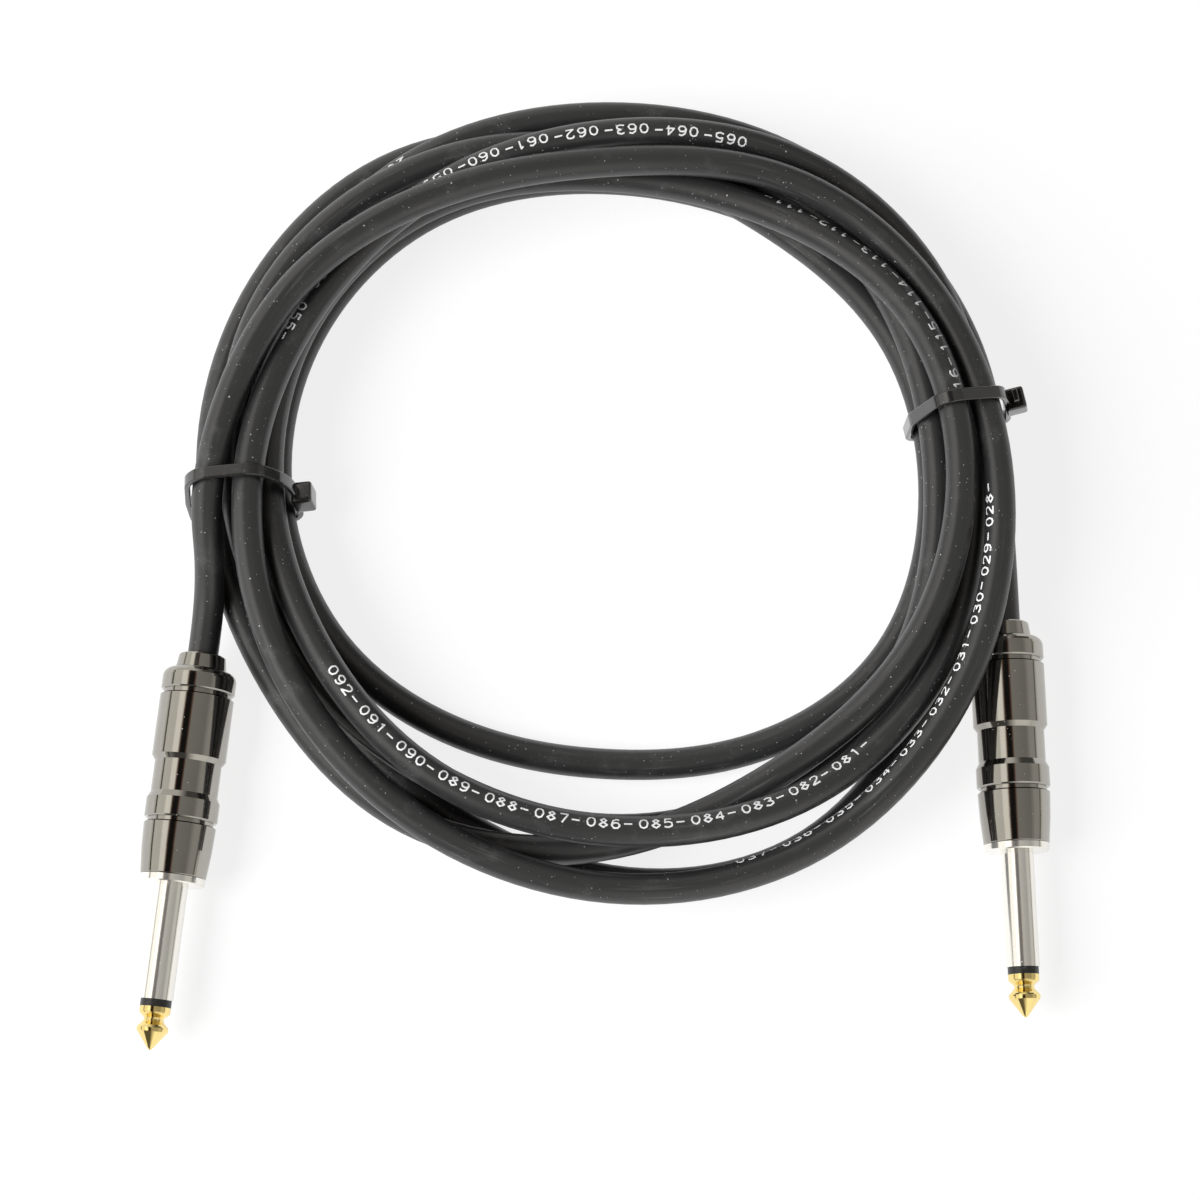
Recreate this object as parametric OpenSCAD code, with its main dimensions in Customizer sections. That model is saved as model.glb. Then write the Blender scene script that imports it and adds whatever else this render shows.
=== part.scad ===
// Instrument cable: a coiled 3 m lead with a 6.35 mm two-pole plug at each end,
// held together by two nylon ties. Millimetres, +Z up, lying on the plane z = 0.
// The origin is on that plane, midway between the outer faces of plugs and ties.
// Plug pieces are drawn along local +Z from the rear of the neck to the tip.

/* [Cable] */
// Outer diameter of the cable jacket
cable_d = 6; // [5:0.1:6.2]
// Length of jacket inside each plug, from the rear of the neck
jacket_in = 14.5; // [14:0.1:15]
// Diameter of the insulated inner core
core_d = 2.4; // [1.6:0.1:2.8]
// Diameter of the bare conductor
wire_d = 0.9; // [0.5:0.1:1.2]
// Length of bare conductor behind the solder joint
wire_len = 0.8; // [0.4:0.1:1.2]

/* [Plug shell] */
// Length of the rear neck
neck_len = 3; // [2:0.1:4]
// Wall of the neck at its rear
neck_wall = 1.3; // [0.9:0.1:1.5]
// How far the neck flares towards the shoulder
neck_flare = 0.4; // [0.2:0.1:0.6]
// Length of the rounded shoulder and the band in front of it
cap_len = 4.4; // [3.6:0.1:5.4]
// Radius of the rounded shoulder
shoulder_r = 1.8; // [1:0.1:2]
// Thickness of the shell's floor in front of the neck
floor_t = 2; // [1:0.1:2.4]
// Wall of the band and of the main barrel round the bore
shell_wall = 1.55; // [1.5:0.05:2]
// Width of the groove behind the barrel
groove_w = 0.9; // [0.5:0.1:1.4]
// Depth of the grooves
groove_depth = 0.6; // [0.3:0.05:0.8]
// Length of the main barrel
barrel_len = 12.2; // [10:0.1:15]
// Length of the chamfer behind the waist
waist_rear_chamfer = 1; // [0.6:0.1:2]
// Depth of the waist below the barrel
waist_depth = 0.7; // [0.3:0.1:0.8]
// Length of the waist
waist_len = 6.2; // [5:0.1:8]
// Length of the chamfer in front of the waist
waist_front_chamfer = 1.2; // [0.6:0.1:2]
// Step of the front flange below the barrel
flange_step = 0.1; // [0.05:0.05:0.2]
// Length of the front flange of the shell
flange_len = 3.8; // [3:0.1:5]
// Small bevel on the outer edges
edge_bevel = 0.25; // [0.1:0.05:0.4]

/* [Nose and collar] */
// Width of the groove between the shell and the nose
nose_groove_w = 0.8; // [0.4:0.1:1.2]
// Length of the nose in front of that groove
nose_len = 10.2; // [8:0.1:12]
// Wall of the nose at its rear
nose_wall = 1.35; // [1.2:0.05:1.5]
// How far the nose has drawn in halfway along
nose_draw_mid = 0.2; // [0.1:0.05:0.3]
// How far the nose has drawn in at its front
nose_draw = 0.65; // [0.4:0.05:0.75]
// Step of the bright collar below the front of the nose
collar_step = 0.1; // [0.05:0.05:0.2]
// Length of the bright collar
collar_len = 1.4; // [1:0.1:2]

/* [Finger] */
// Diameter of the finger
finger_d = 6.35; // [6.25:0.05:6.45]
// Length of the sleeve contact
sleeve_len = 22.2; // [20:0.1:24]
// Length of the insulating ring
ring_len = 1.4; // [1:0.1:2]
// Length of the tip contact
tip_len = 8.1; // [7.5:0.1:8.5]
// Step of the ring and of the tip's collar below the finger
ring_step = 0.2; // [0.2:0.05:0.3]
// Length of that collar
tip_collar_len = 1; // [0.6:0.1:1.2]
// Diameter of the tip at its waist
tip_waist_d = 3.8; // [3.7:0.1:4.4]
// Distance of the waist from the base of the tip
tip_waist_at = 2.3; // [2:0.1:2.6]
// Step of the bulge of the tip below the finger
bulge_step = 0.1; // [0.05:0.05:0.2]
// Distance of the bulge from the base of the tip
tip_bulge_at = 4.2; // [3.8:0.1:4.6]
// Diameter of the blunt end of the tip
tip_end_d = 1; // [0.6:0.1:1.4]
// Wall of the sleeve
sleeve_wall = 0.875; // [0.8:0.025:1]
// Diameter of the rod that carries the tip
rod_d = 2.2; // [1.8:0.1:2.4]
// Depth of the rod in the tip
rod_in_tip = 2; // [1:0.1:3]

/* [Plug insides] */
// Length of thread inside the shell
thread_len = 6; // [5:0.1:6.5]
// Wall of the insulating liner
liner_wall = 0.55; // [0.4:0.05:0.6]
// Length of the liner
liner_len = 18.5; // [16:0.1:19]
// Wall of the cable chuck
chuck_wall = 1.2; // [0.8:0.1:1.4]
// Room between the cable chuck and the clamp
chuck_gap = 1.2; // [0.6:0.1:2.4]
// Width of the slots in the chuck
chuck_slot = 0.8; // [0.5:0.1:1.2]
// Length of the chuck's closed rear
chuck_rear = 1.2; // [0.8:0.1:1.6]
// Thickness of the lugs
lug_t = 0.5; // [0.4:0.05:0.6]
// Width of the earth lug's strip
strip_w = 3.2; // [2.4:0.1:3.4]
// Wall of the clamp between its bore and the strip
clamp_wall = 0.45; // [0.4:0.05:0.5]
// Length of the clamp round the jacket
clamp_len = 3; // [2:0.1:3.2]
// How far the clamp stands behind the end of the jacket
clamp_back = 0.2; // [0:0.1:0.6]
// Angle that the clamp leaves open
clamp_open = 70; // [40:5:100]
// Room between the insulating washer and the strip
washer_room = 0.25; // [0.15:0.05:0.6]
// Thickness of the insulating washer
washer_t = 1; // [0.6:0.1:1.2]
// Width of the tip lug's ring round the rod
tip_lug_ring = 1.5; // [1.2:0.1:1.6]
// Length of the tip lug's tab
tip_tab_len = 4.2; // [3:0.1:4.4]
// Width of the tip lug's tab
tip_tab_w = 2; // [1.4:0.1:2.4]
// Width of the riveted head round the rod
rivet_ring = 0.5; // [0.3:0.1:0.7]
// Thickness of the riveted head
rivet_t = 0.6; // [0.4:0.1:0.8]
// Diameter of the twisted shield
shield_d = 1.2; // [0.8:0.1:1.4]
// How far the twisted shield ends behind the solder joint
shield_back = 0.8; // [0.4:0.1:3]
// Length of the solder joint
solder_len = 2.2; // [1.6:0.1:2.4]
// How far the solder joint stands behind the tab
solder_back = 0.2; // [0:0.1:0.6]

/* [Ties] */
// Width of the tie strap
tie_w = 2.5; // [2:0.1:3.6]
// Thickness of the tie strap
tie_t = 1.1; // [0.8:0.1:1.4]
// Size of the tie head, across the strap
tie_head_w = 4.5; // [4:0.1:5.5]
// Size of the tie head, along the strap
tie_head_h = 5.2; // [4:0.1:6]
// Size of the tie head, away from the strap
tie_head_t = 3.6; // [3:0.1:4.5]
// Length of the cut tail that stands out of the head
tie_stub = 2.4; // [1:0.1:4]

/* [Clearances] */
// Clearance between the shell and the cable
neck_clear = 0.3; // [0.2:0.05:0.4]
// Clearance of the thread
thread_clear = 0.05; // [0.03:0.01:0.1]
// Clearance between liner and shell
liner_clear = 0.15; // [0.1:0.05:0.2]
// Clearance of the fixed pieces of the finger
press_clear = 0.05; // [0.02:0.01:0.08]
// Gap where the tightened shell meets the nose
seat_gap = 0.02; // [0.01:0.01:0.05]
// Clearance between the jacket and what grips it
grip_clear = 0.3; // [0.2:0.05:0.35]
// Clearance between the chuck and the liner
chuck_clear = 0.45; // [0.3:0.05:0.6]
// Clearance between the ties and the cable
tie_clear = 0.35; // [0.3:0.05:0.5]

/* [Hidden] */
$fn = 64;
// Cuts run past the faces that they open by this length.
over = 1;

// Radii of the plug's pieces, from the jacket outwards and from the finger inwards.
grip_r = cable_d / 2 + grip_clear;
chuck_r = grip_r + chuck_wall;
liner_bore_r = chuck_r + chuck_clear;
liner_r = liner_bore_r + liner_wall;
shell_bore_r = liner_r + liner_clear;
thread_r = shell_bore_r - thread_clear;
body_r = shell_bore_r + shell_wall;
neck_bore_r = cable_d / 2 + neck_clear;
neck_rear_r = neck_bore_r + neck_wall;
neck_front_r = neck_rear_r + neck_flare;
shoulder = min(shoulder_r, body_r - neck_front_r);
groove_r = body_r - groove_depth;
waist_r = body_r - waist_depth;
flange_r = body_r - flange_step;
nose_bore_r = thread_r + press_clear;
nose_rear_r = nose_bore_r + nose_wall;
nose_mid_r = nose_rear_r - nose_draw_mid;
nose_front_r = nose_rear_r - nose_draw;
collar_r = nose_front_r - collar_step;
ring_r = finger_d / 2 - ring_step;
bulge_r = finger_d / 2 - bulge_step;
sleeve_bore_r = finger_d / 2 - sleeve_wall;
rod_hole_r = rod_d / 2 + press_clear;
strip_y = grip_r + clamp_wall;
washer_r = strip_y - washer_room;
tip_lug_r = rod_d / 2 + tip_lug_ring;
rivet_r = rod_d / 2 + rivet_ring;
axis_h = body_r;

// Stations along the plug, measured from the rear of the neck.
z_cap = neck_len;
z_groove = z_cap + cap_len;
z_barrel = z_groove + groove_w;
z_waist_rear = z_barrel + barrel_len;
z_waist = z_waist_rear + waist_rear_chamfer;
z_waist_front = z_waist + waist_len;
z_flange = z_waist_front + waist_front_chamfer;
z_shell_end = z_flange + flange_len;
z_nose = z_shell_end + seat_gap;
z_nose_body = z_nose + nose_groove_w;
z_collar = z_nose_body + nose_len;
z_finger = z_collar + collar_len;
z_ring = z_finger + sleeve_len;
z_tip = z_ring + ring_len;
z_shank = z_shell_end - thread_len;
z_washer = z_shank - lug_t - washer_t;
z_tip_lug = z_washer - lug_t;
z_rivet = z_tip_lug - rivet_t;
z_floor = z_cap + floor_t;
z_liner = z_floor + liner_clear;
z_chuck = z_liner + liner_clear;
z_clamp = jacket_in - clamp_back - clamp_len;
z_solder = z_tip_lug - tip_tab_len - solder_back;
chuck_len = z_clamp - chuck_gap - z_chuck;
core_len = z_solder - wire_len - jacket_in;
shield_len = z_solder - shield_back - jacket_in;

// Where each plug lies: rear of its neck, and how far it is turned about Z.
neck_at = [[-77.4, 11.7], [80.3, 18.2]];
plug_turn = [-5.7, 1.1];

// The coil. Each row is one pass, clockwise from the left: [radius, height] of the
// cable's control points at twelve even stations round the coil's centre.
coil_centre = [1.6, 44.7];
stations = 12;
passes = [
    [[75.6, 15.8], [73.6, 22.8], [65, 25], [62.5, 21.9], [71.7, 21.8], [75, 17.5],
        [76.2, 18.5], [80, 18], [82.5, 10.5], [79.5, 13.5], [75.5, 17.2], [72, 17.5]],
    [[69.5, 17], [68, 16], [69, 17.8], [70.5, 20.5], [79, 15], [79, 10.5],
        [71.5, 11.5], [74.5, 11], [73, 16], [68.5, 18], [67, 16.5], [64, 16.5]],
    [[66, 10], [70, 9.5], [70.5, 10], [63.6, 13.5], [63.5, 17.5], [69.2, 22],
        [69.2, 20.5], [68.5, 16.5], [64.5, 11], [71, 10.6], [77, 8.5], [74.3, 3]],
    [[78.6, 3], [83.2, 3.2], [85.2, 3.5], [74, 2.4], [73.3, 10.4], [67.5, 15.5],
        [64.5, 12.5], [68.5, 9], [68, 4], [66.8, 3.4], [65.2, 9.2], [68.5, 10.2]],
    [[73, 8.9], [79.5, 12], [76, 16.4], [71.5, 10.8], [64.2, 8.7], [66.7, 7.5],
        [65.2, 4.5], [65.5, 3], [58.5, 3], [52.5, 3.5], [55, 3.5], [61.5, 3]],
    [[65.4, 3], [69.5, 3], [71.3, 3], [67.5, 3], [68.5, 3], [72.5, 3],
        [71.2, 3], [74.1, 3], [82, 3], [77, 3], [69, 3], [67.8, 3]],
    [[72, 3], [76.4, 4.7], [80.2, 9.5], [78.4, 10.6], [81.1, 8.8], [79.5, 3.5]]];
// Leads to the two plugs: [distance behind the neck, height above the plug's axis].
lead_in = [[-10, 0], [0, 0], [10, 0], [20, 7.2]];
lead_out = [[41, -2.4], [22, -0.6], [10, 0], [0, 0], [-10, 0]];

// A tie's strap runs under the bundle, so the bundle is lifted there by what the
// strap needs. The control points at a tie's stations carry the lift.
tie_lean = [11, 0];
tie_phi = [-3, 168];
tie_need = tie_t + tie_clear + tie_w / 2 * sin(max(tie_lean));
lift_at = [for (j = [0:stations - 1]) j == 0 ? tie_need * 1.65 : j == 5 || j == 6 ? tie_need * 1.1 : 0];

// Even stations pull a cubic B-spline inside its control points by this factor.
reach = 3 / (2 + cos(360 / stations));
function station_angle(k) = 360 / stations * k;
function station_point(k, r, z) = [
    coil_centre[0] - reach * r * cos(station_angle(k)),
    coil_centre[1] + reach * r * sin(station_angle(k)),
    z + lift_at[k % stations]];
function behind(side, s, z) = [
    neck_at[side][0] - s * sin(plug_turn[side]),
    neck_at[side][1] + s * cos(plug_turn[side]),
    axis_h + z];
lays = [for (p = passes) each p];
controls = concat(
    [for (q = lead_in) behind(0, q[0], q[1])],
    [for (k = [0:len(lays) - 1]) station_point(k, lays[k][0], lays[k][1])],
    [for (q = lead_out) behind(1, q[0], q[1])]);

// Point of the cubic B-spline at i + f, where i counts the control points.
function spline(i, f) =
    (pow(1 - f, 3) * controls[i - 1]
    + (3 * pow(f, 3) - 6 * f * f + 4) * controls[i]
    + (-3 * pow(f, 3) + 3 * f * f + 3 * f + 1) * controls[i + 1]
    + pow(f, 3) * controls[i + 2]) / 6;
function along(t) = spline(floor(t), t - floor(t));

// Centres of the rings: two a station, which is 24 a loop, and one in each plug.
route = concat(
    [behind(0, -jacket_in, 0)],
    [for (i = [1:len(controls) - 3]) for (f = [0, 0.5]) spline(i, f)],
    [along(len(controls) - 2.000001), behind(1, -jacket_in, 0)]);

function unit(v) = v / norm(v);
function tangent(p, i) =
    i == 0 ? unit(p[1] - p[0])
    : i == len(p) - 1 ? unit(p[i] - p[i - 1])
    : unit(unit(p[i + 1] - p[i]) + unit(p[i] - p[i - 1]));
function ring(p, t, r, sides) =
    let (side = unit(cross([0, 0, 1], t)), up = cross(t, side))
    [for (k = [0:sides - 1]) p + r * (cos(360 / sides * k - 90) * side + sin(360 / sides * k - 90) * up)];

// Distance of a point from a segment, and the least one of the route to itself.
function near(p, a, b) =
    let (d = b - a, t = max(0, min(1, (p - a) * d / (d * d))))
    norm(p - a - t * d);
far_apart = 45;
function least_gap(p) =
    let (n = len(p), steps = [for (i = [1:n - 1]) norm(p[i] - p[i - 1])],
        arc = [for (i = 0, s = 0; i < n; s = s + (i < n - 1 ? steps[i] : 0), i = i + 1) s])
    min([for (i = [0:n - 1]) for (j = [0:n - 2])
        if (abs(arc[i] - arc[j]) > far_apart && abs(arc[i] - arc[j + 1]) > far_apart)
            near(p[i], p[j], p[j + 1])]) - cable_d;

module tube(p, r, sides) {
    n = len(p);
    points = [for (i = [0:n - 1]) each ring(p[i], tangent(p, i), r, sides)];
    walls = [for (i = [0:n - 2]) for (k = [0:sides - 1])
        let (a = i * sides + k, b = i * sides + (k + 1) % sides)
        each [[a, a + sides, b], [b, a + sides, b + sides]]];
    ends = [for (k = [1:sides - 2]) each [[0, k, k + 1],
        [(n - 1) * sides, (n - 1) * sides + k + 1, (n - 1) * sides + k]]];
    polyhedron(points = points, faces = concat(walls, ends), convexity = 10);
}

module cable() {
    echo(least_gap_of_the_coil = least_gap(route));
    color("#1b1c1e") tube(route, cable_d / 2, 6);
}

// Ties. The strap is the outline round all strands that cross the tie's leaning plane,
// drawn out on one side by a slack circle: [radius of its centre, height, radius].
tie_slack = [[78.8, 11, 3], [77, 12, 3]];
function crossing(i, t, tries) =
    let (p = along(t), q = [p[0], p[1]] - coil_centre,
        err = tie_phi[i] + p[2] * tan(tie_lean[i]) / norm(q) * 180 / PI - atan2(q[1], -q[0]))
    tries == 0 ? t : crossing(i, t + err * stations / 360, tries - 1);
function tie_strands(i) =
    let (out = [-cos(tie_phi[i]), sin(tie_phi[i])])
    [for (m = [0:len(passes) - 1])
        let (t = crossing(i, len(lead_in) + stations * m + tie_phi[i] * stations / 360, 4))
        for (e = [-0.08, 0, 0.08]) let (p = along(t + e))
            [([p[0], p[1]] - coil_centre) * out, p[2] / cos(tie_lean[i])]];

module tie_outline(i, strands, grow) {
    slack = tie_slack[i];
    hull() {
        for (p = strands) translate(p) circle(r = cable_d / 2 + tie_clear + grow, $fn = 32);
        translate([slack[0], slack[1]]) circle(r = slack[2] + grow, $fn = 32);
    }
}

// The head sits outside the strap where it runs from point a to point b.
module tie(i, strands, a, b, stub) {
    run = unit(b - a);
    angle = atan2(run[1], run[0]);
    face = cable_d / 2 + tie_clear;
    translate([coil_centre[0], coil_centre[1], 0]) rotate([0, 0, 180 - tie_phi[i]])
        rotate([90 + tie_lean[i], 0, 0]) {
            linear_extrude(height = tie_w, center = true) difference() {
                tie_outline(i, strands, tie_t);
                tie_outline(i, strands, 0);
            }
            translate((a + b) / 2) rotate([0, 0, angle]) {
                translate([-tie_head_h / 2, -face - tie_t - tie_head_t, -tie_head_w / 2])
                    cube([tie_head_h, tie_head_t + tie_t / 2, tie_head_w]);
                if (stub) translate([0, -face - tie_t - tie_head_t / 2 - tie_t / 2, -tie_w / 2])
                    cube([tie_head_h / 2 + tie_stub, tie_t, tie_w]);
            }
        }
}

module left_tie() {
    s = tie_strands(0);
    color("#222326") tie(0, s, s[7], s[16], false);
}

module right_tie() {
    s = tie_strands(1);
    color("#222326") tie(1, s, s[19], s[1], true);
}

// Plug pieces, along local +Z.
module shell() {
    color("#3c3b3f") difference() {
        rotate_extrude() polygon(concat(
            [[0, 0], [neck_rear_r - edge_bevel, 0], [neck_rear_r, edge_bevel], [neck_front_r, z_cap]],
            [for (a = [0:15:90]) [body_r - shoulder + shoulder * sin(a), z_cap + shoulder - shoulder * cos(a)]],
            [[body_r, z_groove - edge_bevel], [body_r - edge_bevel, z_groove],
                [groove_r, z_groove], [groove_r, z_barrel],
                [body_r - edge_bevel, z_barrel], [body_r, z_barrel + edge_bevel],
                [body_r, z_waist_rear], [waist_r, z_waist], [waist_r, z_waist_front],
                [flange_r, z_flange], [flange_r, z_shell_end - edge_bevel],
                [flange_r - edge_bevel, z_shell_end], [0, z_shell_end]]));
        translate([0, 0, -over]) cylinder(r = neck_bore_r, h = z_floor + 2 * over);
        translate([0, 0, z_floor]) cylinder(r = shell_bore_r, h = z_shell_end);
    }
}

module nose() {
    color("#3c3b3f") difference() {
        rotate_extrude() polygon([[0, z_nose], [nose_rear_r - groove_depth, z_nose],
            [nose_rear_r - groove_depth, z_nose_body], [nose_rear_r - edge_bevel, z_nose_body],
            [nose_rear_r, z_nose_body + edge_bevel], [nose_mid_r, z_nose_body + nose_len / 2],
            [nose_front_r, z_collar - edge_bevel], [nose_front_r - edge_bevel, z_collar], [0, z_collar]]);
        translate([0, 0, z_nose - over]) cylinder(r = nose_bore_r, h = nose_groove_w + nose_len + 2 * over);
    }
}

module sleeve() {
    color("silver") difference() {
        rotate_extrude() polygon([[0, z_shank], [thread_r - edge_bevel, z_shank],
            [thread_r, z_shank + edge_bevel], [thread_r, z_collar], [collar_r, z_collar],
            [collar_r, z_finger - edge_bevel], [collar_r - edge_bevel, z_finger],
            [finger_d / 2, z_finger], [finger_d / 2, z_ring], [0, z_ring]]);
        translate([0, 0, z_shank - over]) cylinder(r = sleeve_bore_r, h = z_ring);
    }
}

module insulating_ring() {
    color("#151515") translate([0, 0, z_ring]) difference() {
        cylinder(r = ring_r, h = ring_len);
        translate([0, 0, -over]) cylinder(r = rod_hole_r, h = ring_len + 2 * over);
    }
}

// The tip narrows to its waist and swells to its bulge along half cosine waves.
function tip_wave(r0, z0, r1, z1, n) = [for (i = [1:n])
    [(r0 + r1) / 2 + (r0 - r1) / 2 * cos(180 * i / n), z0 + (z1 - z0) * i / n]];

module tip() {
    color("#c9a24b") translate([0, 0, z_tip]) difference() {
        rotate_extrude() polygon(concat(
            [[0, 0], [ring_r, 0], [ring_r, tip_collar_len]],
            tip_wave(ring_r, tip_collar_len, tip_waist_d / 2, tip_waist_at, 5),
            tip_wave(tip_waist_d / 2, tip_waist_at, bulge_r, tip_bulge_at, 7),
            [[bulge_r - edge_bevel / 2, tip_bulge_at + 2 * edge_bevel], [tip_end_d / 2, tip_len - edge_bevel],
                [tip_end_d / 4, tip_len], [0, tip_len]]));
        translate([0, 0, -over]) cylinder(r = rod_hole_r, h = rod_in_tip + over);
    }
}

module centre_rod() {
    color("silver") {
        translate([0, 0, z_rivet]) cylinder(r = rivet_r, h = rivet_t);
        translate([0, 0, z_rivet]) cylinder(d = rod_d, h = z_tip + rod_in_tip - z_rivet);
    }
}

module rod_insulator() {
    color("#e8e4d8") translate([0, 0, z_shank]) difference() {
        cylinder(r = sleeve_bore_r - press_clear, h = z_ring - z_shank);
        translate([0, 0, -over]) cylinder(r = rod_hole_r, h = z_ring - z_shank + 2 * over);
    }
}

module rear_washer() {
    color("#3a2a1c") translate([0, 0, z_washer]) difference() {
        cylinder(r = washer_r, h = washer_t);
        translate([0, 0, -over]) cylinder(r = rod_hole_r, h = washer_t + 2 * over);
    }
}

// The earth lug is a ring on the shank, a strip along the plug and a clamp on the jacket.
module earth_lug() {
    color("silver") {
        translate([0, 0, z_shank - lug_t]) difference() {
            cylinder(r = strip_y + lug_t, h = lug_t);
            translate([0, 0, -over]) cylinder(r = tip_lug_r, h = lug_t + 2 * over);
        }
        translate([-strip_w / 2, -strip_y - lug_t, z_clamp]) cube([strip_w, lug_t, z_shank - z_clamp]);
        translate([0, 0, z_clamp]) difference() {
            cylinder(r = strip_y + lug_t / 2, h = clamp_len);
            translate([0, 0, -over]) cylinder(r = grip_r, h = clamp_len + 2 * over);
            translate([0, 0, -over]) linear_extrude(height = clamp_len + 2 * over)
                polygon([[0, 0], 2 * body_r * [sin(clamp_open / 2), cos(clamp_open / 2)],
                    2 * body_r * [-sin(clamp_open / 2), cos(clamp_open / 2)]]);
        }
    }
}

// The tip lug is a ring on the rod and a tab that carries the soldered conductor.
module tip_lug() {
    color("silver") translate([0, 0, z_tip_lug]) {
        difference() {
            cylinder(r = tip_lug_r, h = lug_t);
            translate([0, 0, -over]) cylinder(r = rod_hole_r, h = lug_t + 2 * over);
        }
        translate([-tip_tab_w / 2, rivet_r + press_clear, -tip_tab_len])
            cube([tip_tab_w, lug_t, tip_tab_len + lug_t]);
    }
}

module liner() {
    color("#202022") translate([0, 0, z_liner]) difference() {
        cylinder(r = liner_r, h = liner_len);
        translate([0, 0, -over]) cylinder(r = liner_bore_r, h = liner_len + 2 * over);
    }
}

module chuck() {
    color("#2b2b2e") translate([0, 0, z_chuck]) difference() {
        cylinder(r = chuck_r, h = chuck_len);
        translate([0, 0, -over]) cylinder(r = grip_r, h = chuck_len + 2 * over);
        for (a = [0:120:240]) rotate([0, 0, a + 30]) translate([0, -chuck_slot / 2, chuck_rear])
            cube([chuck_r + over, chuck_slot, chuck_len]);
    }
}

module inner_core() {
    color("#d8d4c8") translate([0, 0, jacket_in]) {
        cylinder(d = core_d, h = core_len);
        cylinder(d = wire_d, h = core_len + wire_len);
    }
}

module solder() {
    color("#b9bcc0") translate([0, 0, z_solder]) cylinder(r = rivet_r, h = solder_len);
}

// The twisted shield leaves the jacket beside the core and lies over the strip.
module shield_tail() {
    rest_y = -strip_y + shield_d / 2 + press_clear;
    start_y = -core_d / 2 - shield_d / 2 - press_clear;
    color("#b56b3c") intersection() {
        translate([0, start_y, jacket_in]) rotate([atan((start_y - rest_y) / shield_len), 0, 0])
            translate([0, 0, -over]) cylinder(d = shield_d, h = shield_len + over);
        translate([-strip_y, -strip_y + press_clear / 2, jacket_in]) cube([2 * strip_y, strip_y, shield_len]);
    }
}

module at_plug(side) {
    translate([neck_at[side][0], neck_at[side][1], axis_h]) rotate([0, 0, plug_turn[side]])
        rotate([90, 0, 0]) children();
}

cable();
left_tie();
right_tie();
at_plug(0) shell();  // left_shell
at_plug(0) nose();  // left_nose
at_plug(0) sleeve();  // left_sleeve
at_plug(0) insulating_ring();  // left_insulating_ring
at_plug(0) tip();  // left_tip
at_plug(0) centre_rod();  // left_centre_rod
at_plug(0) rod_insulator();  // left_rod_insulator
at_plug(0) rear_washer();  // left_rear_washer
at_plug(0) earth_lug();  // left_earth_lug
at_plug(0) tip_lug();  // left_tip_lug
at_plug(0) liner();  // left_liner
at_plug(0) chuck();  // left_chuck
at_plug(0) inner_core();  // left_inner_core
at_plug(0) solder();  // left_solder
at_plug(0) shield_tail();  // left_shield_tail
at_plug(1) shell();  // right_shell
at_plug(1) nose();  // right_nose
at_plug(1) sleeve();  // right_sleeve
at_plug(1) insulating_ring();  // right_insulating_ring
at_plug(1) tip();  // right_tip
at_plug(1) centre_rod();  // right_centre_rod
at_plug(1) rod_insulator();  // right_rod_insulator
at_plug(1) rear_washer();  // right_rear_washer
at_plug(1) earth_lug();  // right_earth_lug
at_plug(1) tip_lug();  // right_tip_lug
at_plug(1) liner();  // right_liner
at_plug(1) chuck();  // right_chuck
at_plug(1) inner_core();  // right_inner_core
at_plug(1) solder();  // right_solder
at_plug(1) shield_tail();  // right_shield_tail
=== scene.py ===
"""Dresses the coiled instrument cable: jacket, ties, plug finishes and the stage.

Lengths in the settings are in metres. Every new piece is a surface worked out with
numpy, in the frame of the loaded model, and its object sits at the origin.
"""

import math

import bpy
import numpy as np
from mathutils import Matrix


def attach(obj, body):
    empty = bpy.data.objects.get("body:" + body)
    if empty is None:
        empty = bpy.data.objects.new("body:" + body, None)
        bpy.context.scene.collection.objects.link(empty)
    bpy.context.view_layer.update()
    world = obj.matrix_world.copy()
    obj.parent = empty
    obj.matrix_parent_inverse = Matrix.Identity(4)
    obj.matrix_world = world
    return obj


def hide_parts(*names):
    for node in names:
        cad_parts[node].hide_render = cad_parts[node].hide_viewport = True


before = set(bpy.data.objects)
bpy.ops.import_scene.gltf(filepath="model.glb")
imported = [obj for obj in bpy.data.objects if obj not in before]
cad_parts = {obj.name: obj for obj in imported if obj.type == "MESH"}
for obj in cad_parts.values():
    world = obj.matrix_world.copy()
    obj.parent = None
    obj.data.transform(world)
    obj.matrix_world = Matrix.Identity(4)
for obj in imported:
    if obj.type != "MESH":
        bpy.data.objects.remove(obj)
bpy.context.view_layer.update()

bl_info = {
    "name": "Instrument cable dressing",
    "version": (1, 0, 0),
    "blender": (4, 5, 0),
    "location": "View3D > Sidebar > Cable",
    "description": "Lays the jacket, ties and finishes of a coiled instrument cable",
    "category": "Object",
}

MM = 0.001
SIDES = ("left", "right")

# ---------------------------------------------------------------- the cable's route

NECKS = np.array([[-77.4, 11.7], [80.3, 18.2]]) * MM
PLUG_TURNS = (-5.7, 1.1)
AXIS_HEIGHT = 7.2 * MM
JACKET_IN_PLUG = 14.5 * MM
COIL_CENTRE = np.array([1.6, 44.7]) * MM
STATIONS = 12
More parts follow.
